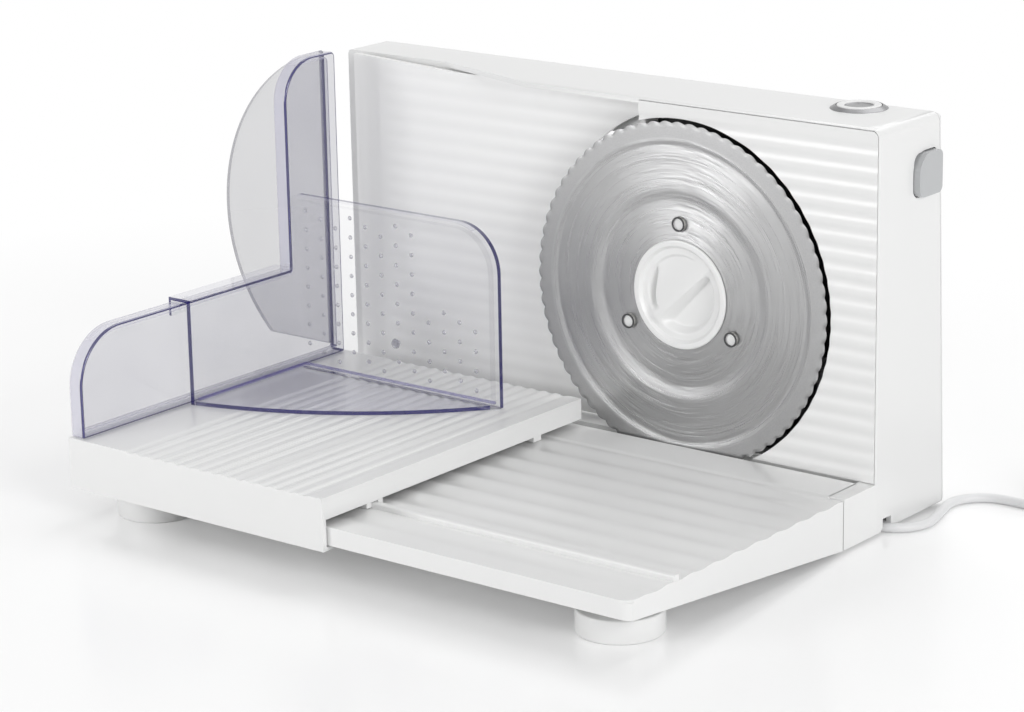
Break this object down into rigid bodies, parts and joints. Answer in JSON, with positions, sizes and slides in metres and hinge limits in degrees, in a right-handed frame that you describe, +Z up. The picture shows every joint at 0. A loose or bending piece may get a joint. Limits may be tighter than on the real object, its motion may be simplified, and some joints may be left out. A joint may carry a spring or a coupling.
{
  "type": "electric food slicer",
  "caption": "White electric food slicer with a round serrated blade, ribbed fence and table, sliding carriage with clear food holder and thumb guard, and a mains cord.",
  "frame": {"origin": "middle of the slicer's bounding box without its cord and plug, on the floor", "axes": "+X to the right along the table as the user faces it, +Y to the back, +Z up"},
  "size_m": [0.5635, 0.3458, 0.1999],
  "materials": {
    "housing_white": "glossy",
    "clear_plastic": "clear, blue-violet at the edges",
    "blade_steel": "turned, fine rings",
    "plain_steel": "plain",
    "ring_chrome": "polished",
    "switch_grey": "satin",
    "dark_plastic": "satin",
    "nylon": "satin",
    "brass": "plain",
    "copper_winding": "lacquered copper",
    "foot_rubber": "matte",
    "cord_white": "satin"
  },
  "bodies": {
    "housing": {"housing_shell": "housing_white", "rear_cover": "housing_white", "front_panel": "housing_white", "cover_screw_1": "plain_steel", "cover_screw_2": "plain_steel", "cover_screw_3": "plain_steel", "cover_screw_4": "plain_steel", "plate_screw_1": "plain_steel", "plate_screw_2": "plain_steel", "motor_screw_left": "plain_steel", "motor_screw_right": "plain_steel", "gearbox_plate": "dark_plastic", "blade_axle": "plain_steel", "motor_can": "plain_steel", "motor_stator": "dark_plastic", "motor_end_bracket": "plain_steel", "brush_holder_left": "brass", "brush_holder_right": "brass", "guide_bush_lower": "nylon", "guide_bush_upper": "nylon", "table": "housing_white", "hinge_pin_left": "plain_steel", "hinge_pin_right": "plain_steel", "front_foot_left": "housing_white", "front_foot_right": "housing_white", "rear_foot_left": "foot_rubber", "rear_foot_right": "foot_rubber", "start_microswitch": "dark_plastic", "lock_ring": "ring_chrome", "lock_microswitch": "dark_plastic", "lock_spring": "plain_steel", "cord_clamp": "dark_plastic", "cord_run": "cord_white", "cord_coil": "cord_white", "plug": "cord_white"},
    "blade": {"blade": "blade_steel", "blade_gear": "nylon"},
    "knob": {"blade_knob": "housing_white"},
    "idler": {"idler_shaft": "plain_steel", "idler_pinion": "nylon", "worm_wheel": "nylon"},
    "rotor": {"rotor_shaft": "plain_steel", "worm": "plain_steel", "armature": "copper_winding", "commutator": "copper_winding", "motor_fan": "dark_plastic"},
    "dial": {"thickness_dial": "housing_white", "dial_spindle": "plain_steel"},
    "fence": {"fence": "housing_white", "fence_carrier": "dark_plastic", "guide_rod_lower": "plain_steel", "guide_rod_upper": "plain_steel"},
    "carriage": {"carriage": "housing_white", "backrest": "clear_plastic", "thumb_guard": "clear_plastic"},
    "holder": {"food_holder": "clear_plastic"},
    "start_button": {"start_button": "switch_grey"},
    "lock_button": {"lock_button": "housing_white"}
  },
  "joints": [
    {"name": "blade_spin", "type": "hinge", "parent": "housing", "child": "blade", "pos_m": [0.088, 0.06241, 0.1015], "axis": [0, 1, 0], "continuous": true},
    {"name": "idler_spin", "type": "hinge", "parent": "housing", "child": "idler", "pos_m": [0.142, 0.06241, 0.1015], "axis": [0, 1, 0], "continuous": true},
    {"name": "rotor_spin", "type": "hinge", "parent": "housing", "child": "rotor", "pos_m": [0.163, 0.08941, 0.1], "axis": [0, 0, 1], "continuous": true},
    {"name": "knob_turn", "type": "hinge", "parent": "blade", "child": "knob", "pos_m": [0.088, 0.06241, 0.1015], "axis": [0, -1, 0], "range_deg": [0, 60]},
    {"name": "thickness_turn", "type": "hinge", "parent": "housing", "child": "dial", "pos_m": [-0.109, 0.06241, 0.105], "axis": [0, 1, 0], "range_deg": [0, 300]},
    {"name": "fence_slide", "type": "slide", "parent": "housing", "child": "fence", "axis": [0, -1, 0], "range_m": [0, 0.015]},
    {"name": "carriage_slide", "type": "slide", "parent": "housing", "child": "carriage", "axis": [1, 0, 0], "range_m": [0, 0.165]},
    {"name": "holder_slide", "type": "slide", "parent": "carriage", "child": "holder", "axis": [0, 1, 0], "range_m": [-0.07, 0]},
    {"name": "start_press", "type": "slide", "parent": "housing", "child": "start_button", "axis": [-1, 0, 0], "range_m": [0, 0.0025], "stiffness_N_per_m": 400},
    {"name": "lock_press", "type": "slide", "parent": "housing", "child": "lock_button", "axis": [0, 0, -1], "range_m": [0, 0.003], "stiffness_N_per_m": 500, "deforming": ["lock_spring"]}
  ],
  "couplings": [
    {"joint": "idler_spin", "follows": "blade_spin", "ratio": -3},
    {"joint": "rotor_spin", "follows": "blade_spin", "ratio": -24},
    {"joint": "thickness_turn", "follows": "fence_slide", "rad_per_m": 349.06}
  ]
}
